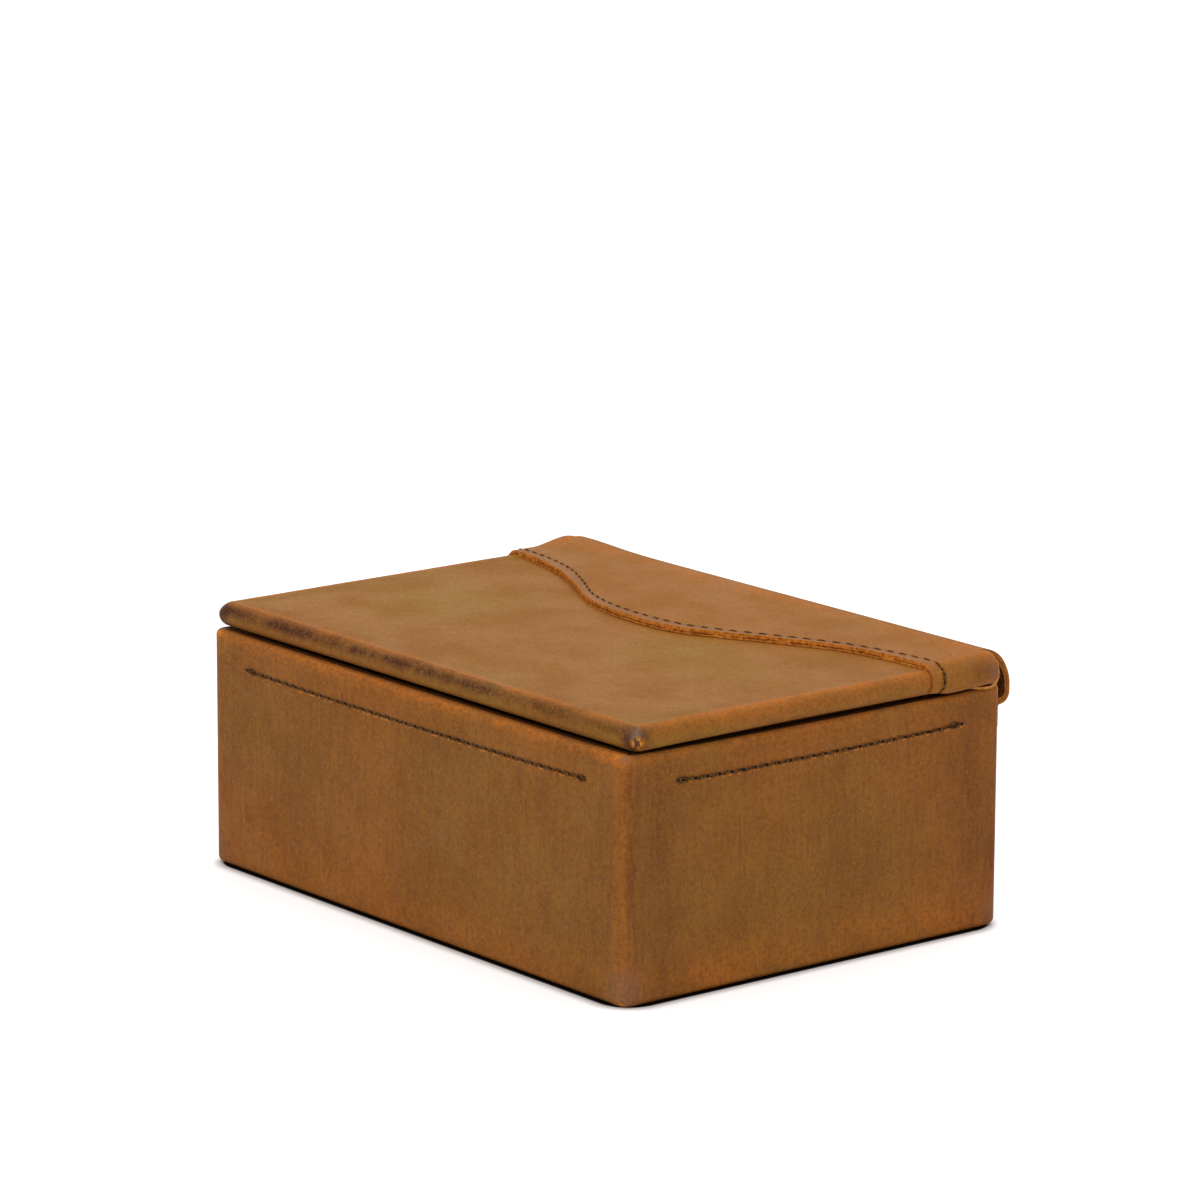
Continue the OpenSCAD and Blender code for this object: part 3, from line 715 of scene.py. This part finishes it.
# The section of the tongue, grain side and flesh side: over the roll, down behind the box,
# forward under the loop and down on the rear wall
rows_loop = np.concatenate([
    bow((79.6, 85.6), 14.4, 90, 0, 24), line((94.0, 85.6), (94.0, 83.5, 2)),
    bow((89.6, 83.5), 4.4, 0, -90, 12), bow((89.6, 78.1), 1.0, 90, 180, 6),
    line((88.6, 78.1), (88.6, 71.1, 5)), [(88.6, 71.1)]])[1:]
rows_inside = np.concatenate([
    bow((79.6, 85.6), 12.0, 90, 0, 24), line((91.6, 85.6), (91.6, 83.5, 2)),
    bow((89.6, 83.5), 2.0, 0, -90, 12), bow((89.6, 78.1), 3.4, 90, 180, 6),
    line((86.2, 78.1), (86.2, 71.1, 5)), [(86.2, 71.1)]])[1:]


EAR_END, EAR_MOST = 80.75, 84.0
ear_t = np.linspace(0, 1, 9)[1:, None]
ROUNDS = 40
# The pattern's length at which the ear reaches EAR_END, found by closing in on it; under the
# roll the hide turns in and never reaches it, so there its length stays at EAR_MOST.
ear_end = EAR_END + 0 * a
for _ in range(ROUNDS):
    short_by = EAR_END - over_lid(a, ear_end, 0)[:, 1]
    ear_end = np.clip(ear_end + 0.8 * short_by, EAR_END - 0.1, EAR_MOST)
ear_b = TOP_END * (1 - ear_t) + ear_end[None] * ear_t
ear_a = np.repeat(a[None], len(ear_t), 0)


def whole_sheet(over_top, section, depth):
    """One side of the whole hide in metres: its rows over the lid, and behind them the section
    of the tongue carried straight across, or the ears beside it, which end sooner."""
    tongue = np.stack([np.repeat(a[None], len(section), 0),
                       *(np.repeat(section[:, k:k + 1], len(a), 1) for k in range(2))], -1)
    ears = np.pad(over_lid(ear_a, ear_b, depth),
                  ((0, len(section) - len(ear_t)), (0, 0), (0, 0)), mode="edge")
    behind = np.where((np.abs(a) <= TONGUE_W)[None, :, None], tongue, ears)
    return np.concatenate([over_top, behind]) * MM


grain = whole_sheet(yoke_grain, rows_loop, 0)
flesh = whole_sheet(yoke_flesh, rows_inside, HIDE_T)
row_number = np.arange(len(grain) - 1)[:, None]
middle = (np.abs(a[:-1]) + np.abs(a[1:]))[None] / 2
yoke_rows = len(t) - 1
cells = (row_number < yoke_rows) | (middle < TONGUE_W) | (
    (middle > SLIT) & (row_number < yoke_rows + len(ear_t)))


def worn_shape(p):
    """What use has done to the yoke, as a change of height: its rear edge stands up a little,
    most at the left corner, the left roll is pressed down, and the skirts curl up."""
    high = ease((p[..., 2] - 0.091) / 0.006)
    lift = 0.0005 + 0.0013 * np.exp(-((p[..., 0] + 0.1135) / 0.022) ** 2)
    pressed = np.exp(-((p[..., 0] + 0.121) / 0.014) ** 2) * near(p[..., 1], 0.0635, 0.018)
    change = high * (lift * ease((p[..., 1] - 0.062) / 0.018) - 0.0008 * pressed)
    curl = 0.0009 + 0.0006 * ease((p[..., 1] - 0.058) / 0.020)
    change = change + curl * ease((0.0925 - p[..., 2]) / 0.004) * (np.abs(p[..., 0]) > 0.1155)
    return np.stack([p[..., 0], p[..., 1], p[..., 2] + change], -1)


grain, flesh = worn_shape(grain), worn_shape(flesh)
points, faces, kinds, used, depth = sheet_shell(
    grain, flesh, np.broadcast_to(cells, (len(grain) - 1, len(a) - 1)))

# Where each point lies in the flat pattern; the tongue and the ears count as BEHIND
ROW_POINTS, BEHIND = 900, 90.0
row_curve = even_steps(smooth_curve(YOKE_ROW, ROW_POINTS), ROW_POINTS)
plan = np.stack([np.repeat(a[None], len(grain), 0),
                 np.concatenate([plan_b, np.full((len(rows_loop), len(a)), BEHIND)])], -1)
gap = np.linalg.norm(plan[:, :, None] - row_curve[None, None], axis=-1)
nearest = gap.argmin(-1)
ahead_of = plan[..., 1] - row_curve[nearest][..., 1]
row_v = np.where(ahead_of > 0, 1, -1) * gap.min(-1)
row_u = nearest / (ROW_POINTS - 1) * YOKE_STITCHES
# The end of the tongue is sewn to the rear wall by that wall's own row
ANCHOR_ROWS, REAR_ROW_END = 7, 97.5
on_anchor = (np.arange(len(grain)) >= len(grain) - ANCHOR_ROWS)[:, None]
rear_on = on_anchor & (np.abs(a) < REAR_ROW_END)[None]
low, high, count = ROWS["rear"]
row_u = np.where(rear_on, (-grain[..., 0] - low) / (high - low) * count, row_u)
row_v = np.where(rear_on, (grain[..., 2] - ROW_Z) * 1000, row_v)
back, off_middle = plan[..., 1], np.abs(plan[..., 0])
from_seam = back - seam_b[None]
at_side = np.clip((off_middle - 119) / 4, 0, 1)
ear_rim = (np.arange(len(grain)) - yoke_rows - 3)[:, None] / 3 * (np.abs(a) > TONGUE_W)[None]
marks = {
    "row_u": row_u, "row_v": row_v, "row_on": np.where(rear_on, 1, 0.2 + 0.7 * at_side),
    "strip": np.clip(1 - (from_seam - 3.4) / 1.0, 0, 1) * (back < 85) * (1 - at_side),
    "rub_and_painted_light": near(back, 80, 14) * 0.7 + near(from_seam, 0.3, 0.9) * 0.6 * (1 - at_side)
    + near(off_middle, 118.6, 3.4) * 0.7
    # A painted highlight: broad and lighter on the rolls of the skirts toward the rear.
    + near(off_middle, 114, 11) * ease((back - 58) / 12) * 0.35,
    "dark": spot(grain, (0.1238, 0.0765, 0.0955), 0.0095) * 0.4
    + 0.36 * near(grain[..., 2], 0.0955, 0.0048) * at_side * ease((back - 60) / 13),
    "fold": spot(grain, (0.1238, 0.0735, 0.0962), 0.0105) * 0.35,
    # A painted highlight: a grey sheen at the rear corners of the yoke.
    "sheen": spot(grain, (0.1232, 0.0785, 0.0945), 0.0055) * 0.6,
    "raw": 1.4 * np.clip(ear_rim, 0, 1)}
marks = {key: np.broadcast_to(value, row_u.shape).ravel()[used] for key, value in marks.items()}
marks["depth"] = depth
on_tongue = (np.arange(len(grain)) > yoke_rows)[:, None] * 1.0
marks["plain"] = np.maximum(at_side, on_tongue).ravel()[used]
yoke_hide = leather_finish("yoke_hide", rgb(171, 110, 45), rgb(143, 87, 34),
                           rgb(165, 110, 45), row=True)
yoke_leather = make_piece("yoke_leather", points, faces, [yoke_hide, cut_edge, flesh_side],
                          kinds, marks)


def soften_edges(piece, width):
    """Takes the sharpness off cut edges: a small round of two steps along every hard edge."""
    bevel = piece.modifiers.new("soft_edges", "BEVEL")
    bevel.width, bevel.segments = width, 2
    bevel.limit_method, bevel.angle_limit = "ANGLE", math.radians(55)
    rounded = piece.evaluated_get(bpy.context.evaluated_depsgraph_get())
    softened = bpy.data.meshes.new_from_object(rounded)
    piece.modifiers.clear()
    piece.data = softened


soften_edges(yoke_leather, 0.0003)
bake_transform(yoke_leather)
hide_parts("lid_yoke", "hinge_loop", "hinge_anchor")

# --------------------------------------------------------------------
# The stitching: waxed dark brown thread in straight rows through the walls, outside and in,
# and one row along the seam of the yoke. Each stitch dips into its needle holes.
# --------------------------------------------------------------------


def thread_finish():
    """Dark twisted thread, paler where the wax has worn."""
    finish, shader, add = new_finish("waxed_thread", 0.8, 0.02)
    noise, mix, ramp, _ = tools_for(add)
    tone = mix(ramp(noise(0.0007, 3), 0.36, 0.66), rgb(50, 32, 17), rgb(126, 92, 55))
    coat(shader, add, tone, noise(0.0003, 2), 0.5, 0.0001)
    return finish


waxed_thread = thread_finish()
RINGS, SIDES = 7, 8
# An eye's length, in stitches, and how far each of its two threads stands off the row
EYE_LENGTH, EYE_OFF = 1.35, 0.0008


def thread_row(name, holes, outward, thick, slant, share, body, node, knots=None, rise=1.0,
               crest=None):
    """A row of stitches from hole to hole. Each one is a tube of eight sides and seven rings
    whose middle line rises out of one hole, runs over the hide and dips into the next; its
    outline has two lobes that turn once along it, as two twisted plies do. With knots, each
    end of the row is closed by an eye, two threads that part and meet again; knots gives how
    many stitches the first and the last eye reach past their holes. rise flattens the tube,
    and crest is how far a bent hide stands out of the straight line between two holes."""
    start, end, bulge = holes[:-1], holes[1:], np.zeros(len(holes) - 1)
    if knots:
        stitch = holes[1] - holes[0]
        tail = [holes[0] - knots[0] * stitch, holes[-1] + knots[1] * stitch]
        inner = [tail[0] + EYE_LENGTH * stitch, tail[1] - EYE_LENGTH * stitch]
        start = np.concatenate([start, [tail[0], tail[0], inner[1], inner[1]]])
        end = np.concatenate([end, [inner[0], inner[0], tail[1], tail[1]]])
        bulge = np.concatenate([bulge, [EYE_OFF, -EYE_OFF, EYE_OFF, -EYE_OFF]])
        outward = np.concatenate([outward, outward[:4]])
    run = end - start
    size = np.linalg.norm(run, axis=1, keepdims=True)
    run = run / size
    up = (outward[:-1] + outward[1:]) / 2
    up = up / np.linalg.norm(up, axis=1, keepdims=True)
    across = np.cross(up, run)
    s = np.array([0, 0.07, 0.24, 0.5, 0.76, 0.93, 1.0])[None, :, None]
    lift = np.array([-1.0, -0.15, 0.22, 0.3, 0.22, -0.15, -1.0])[None, :, None] * thick * rise
    girth = np.array([0.0, 0.9, 1.0, 1.0, 1.0, 0.9, 0.0])[None, :, None, None] * thick / 2
    middle = (start + end)[:, None] / 2 + run[:, None] * (s - 0.5) * size[:, None] * share
    sideways = slant * (1 - 2 * s) * (bulge == 0)[:, None, None]
    sideways = sideways + bulge[:, None, None] * np.sin(np.pi * s)
    middle = middle + up[:, None] * lift + across[:, None] * sideways
    if crest is not None:
        at = 0.5 + (s - 0.5) * share
        middle = middle + 4 * at * (1 - at) * crest[:, None]
    angle = np.linspace(0, 2 * np.pi, SIDES, endpoint=False)[None, None]
    lobes = (1 + 0.16 * np.cos(2 * (angle - np.pi * s)))[..., None]
    ring = (np.cos(angle)[..., None] * across[:, None, None]
            + rise * np.sin(angle)[..., None] * up[:, None, None])
    points = middle[:, :, None] + ring * girth * lobes
    one = grid_faces(RINGS, SIDES, False, True)
    faces = one[None] + (np.arange(len(start)) * RINGS * SIDES)[:, None, None]
    piece = make_piece(name, points.reshape(-1, 3), faces.reshape(-1, 4), [waxed_thread])
    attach(piece, body)
    if node:
        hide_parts(node)


def wall_holes(key, out, inner):
    """Needle holes of one wall's row, outside and inside, and the way each face looks."""
    low, high, count = ROWS[key]
    at = np.linspace(0, 1, count + 1)
    along = low + (high - low) * at
    height = ROW_Z + ROW_SMILE * (2 * at - 1) ** 4
    turn = {"front": ((1, 0), (0, -1)), "right": ((0, 1), (1, 0)),
            "rear": ((-1, 0), (0, 1)), "left": ((0, -1), (-1, 0))}[key]
    way, face = (np.array([*k, 0.0]) for k in turn)
    rows = []
    for distance, sign in ((out, 1), (inner, -1)):
        holes = along[:, None] * way + face * distance + height[:, None] * np.array([0, 0, 1.0])
        rows.append((holes, np.repeat(face[None] * sign, count + 1, 0)))
    return rows


for key, out, knots in (("front", BOX_D / 2, (0.05, 1.0)), ("right", BOX_W / 2, (0.8, 0.05)),
                        ("rear", BOX_D / 2, (0.3, 0.3)), ("left", BOX_W / 2, (0.3, 0.3))):
    over_hinge = HIDE_T * MM if key == "rear" else 0
    outer_row, inner_row = wall_holes(key, out + over_hinge, out - 0.009)
    thread_row(key + "_thread_outside", *outer_row, 0.0008, -0.0004, 0.84, "tray",
               key + "_stitching", knots)
    thread_row(key + "_thread_inside", *inner_row, 0.0008, 0.0004, 0.84, "tray", None)

# The yoke's row has a point at each hole and one halfway, which shows how far the hide bulges
halves = even_steps(row_curve, 2 * YOKE_STITCHES + 1)
thinned = pared(halves[:, 0], halves[:, 1] - np.interp(halves[:, 0], seam[:, 0], seam[:, 1]))
on_lid = worn_shape(over_lid(halves[:, 0], halves[:, 1], thinned) * MM)
outward = (on_lid - worn_shape(over_lid(halves[:, 0], halves[:, 1], HIDE_T) * MM))[::2]
crest = on_lid[1::2] - (on_lid[:-1:2] + on_lid[2::2]) / 2
thread_row("yoke_thread", on_lid[::2], outward / np.linalg.norm(outward, axis=1, keepdims=True),
           0.0009, 0.0002, 0.72, "lid", "yoke_stitching", rise=0.6, crest=crest)

# --------------------------------------------------------------------
# The studio: a white floor and background, soft light from a wide panel overhead and from
# all round. Camera and mirror rays see the background as white; the light stays plain.
# --------------------------------------------------------------------
world = bpy.data.worlds.new("studio")
bpy.context.scene.world = world
world.use_nodes = True
background = world.node_tree.nodes["Background"]
ALL_ROUND, SEEN_WHITE, WHITE = 0.55, 1.0, (1, 1, 1, 1)
background.inputs["Color"].default_value = WHITE


def seen_straight(add):
    """1 for camera, mirror and glass rays, and 0 for the rays that only carry light."""
    paths = add("LightPath", {}).outputs
    seen = paths["Is Camera Ray"]
    for kind in ("Is Glossy Ray", "Is Transmission Ray"):
        seen = add("Math", {0: seen, 1: paths[kind]}, operation="MAXIMUM").outputs[0]
    return seen


add = node_adder(world.node_tree)
level_map = add("MapRange", {"Value": seen_straight(add), "To Min": ALL_ROUND,
                             "To Max": SEEN_WHITE})
world.node_tree.links.new(level_map.outputs[0], background.inputs["Strength"])


def softbox(name, place, target, size, power):
    """A square light panel at place that faces target."""
    lamp = bpy.data.lights.new(name, "AREA")
    lamp.size, lamp.energy = size, power
    panel = new_object(name, lamp)
    panel.location = place
    panel.rotation_mode = "QUATERNION"
    panel.rotation_quaternion = (Vector(target) - Vector(place)).to_track_quat("-Z", "Y")


softbox("overhead", (-0.2, 0.3, 1.5), (0, 0, 0.05), 1.4, 9)
softbox("front_fill", (1.0, -1.3, 0.7), (0, 0, 0.04), 1.2, 4)

FLOOR_HALF = 6
floor_mesh = bpy.data.meshes.new("floor")
floor_mesh.from_pydata([(FLOOR_HALF * i, FLOOR_HALF * j, 0)
                        for i, j in ((-1, -1), (1, -1), (1, 1), (-1, 1))], [], [(0, 1, 2, 3)])
floor = new_object("floor", floor_mesh)
white, paint, add = new_finish("white_floor", 1.0, 0.0)
_, mix, ramp, calc = tools_for(add)
# How far from the box's footprint a point of the floor lies, with the footprint's corners round
FOOT_CORNER = 0.012
across = add("SeparateXYZ", {0: add("TexCoord", {}).outputs["Object"]}).outputs
past_x, past_y = (
    calc("MAXIMUM", calc("SUBTRACT", calc("ABSOLUTE", across[key]), reach - FOOT_CORNER), 0.0)
    for key, reach in (("X", BOX_W / 2), ("Y", BOX_D / 2)))
away = calc("SQRT", calc("ADD", calc("POWER", past_x, 2.0), calc("POWER", past_y, 2.0)))
away = calc("SUBTRACT", away, FOOT_CORNER)
# A painted contact shadow: the floor is near black where the box stands. Beyond it the
# floor glows up to the white of the background, and less beside the box, where its shadow stays.
under = ramp(away, 0.0002, 0.0012)
white.node_tree.links.new(mix(under, (0.012, 0.01, 0.009, 1), (0.86, 0.86, 0.86, 1)),
                          paint.inputs["Base Color"])
glow = calc("ADD", ramp(away, 0.0004, 0.006, 0, 0.54), ramp(away, 0.2, 1.5, 0, 0.2))
paint.inputs["Emission Color"].default_value = WHITE
white.node_tree.links.new(calc("MULTIPLY", seen_straight(add), glow),
                          paint.inputs["Emission Strength"])
floor_mesh.materials.append(white)

# --------------------------------------------------------------------
# The camera: a long lens, set where the photograph was taken from. Its place, its direction
# and its lens come from a fit to the outlines of the box.
# --------------------------------------------------------------------
YAW, PITCH, ROLL = (math.radians(angle) for angle in (51.238, 12.8606, 0.2588))
CAMERA_AT = (1.559826, -1.252519, 0.565315)
LENS_MM, SENSOR_MM = 171.569, 36
camera_data = bpy.data.cameras.new("camera")
camera_data.sensor_width = SENSOR_MM
camera_data.lens = LENS_MM
camera_data.clip_start, camera_data.clip_end = 0.1, 50
camera = new_object("camera", camera_data)
ahead = np.array([-math.sin(YAW) * math.cos(PITCH), math.cos(YAW) * math.cos(PITCH),
                  -math.sin(PITCH)])
level = np.array([math.cos(YAW), math.sin(YAW), 0])
upward = np.cross(level, ahead)
turned_level = math.cos(ROLL) * level + math.sin(ROLL) * upward
turned_up = -math.sin(ROLL) * level + math.cos(ROLL) * upward
columns = np.stack([turned_level, turned_up, -ahead, CAMERA_AT], 1)
camera.matrix_world = Matrix([*columns.tolist(), [0, 0, 0, 1]])
bpy.context.scene.camera = camera

bpy.context.scene.view_settings.view_transform = "Standard"
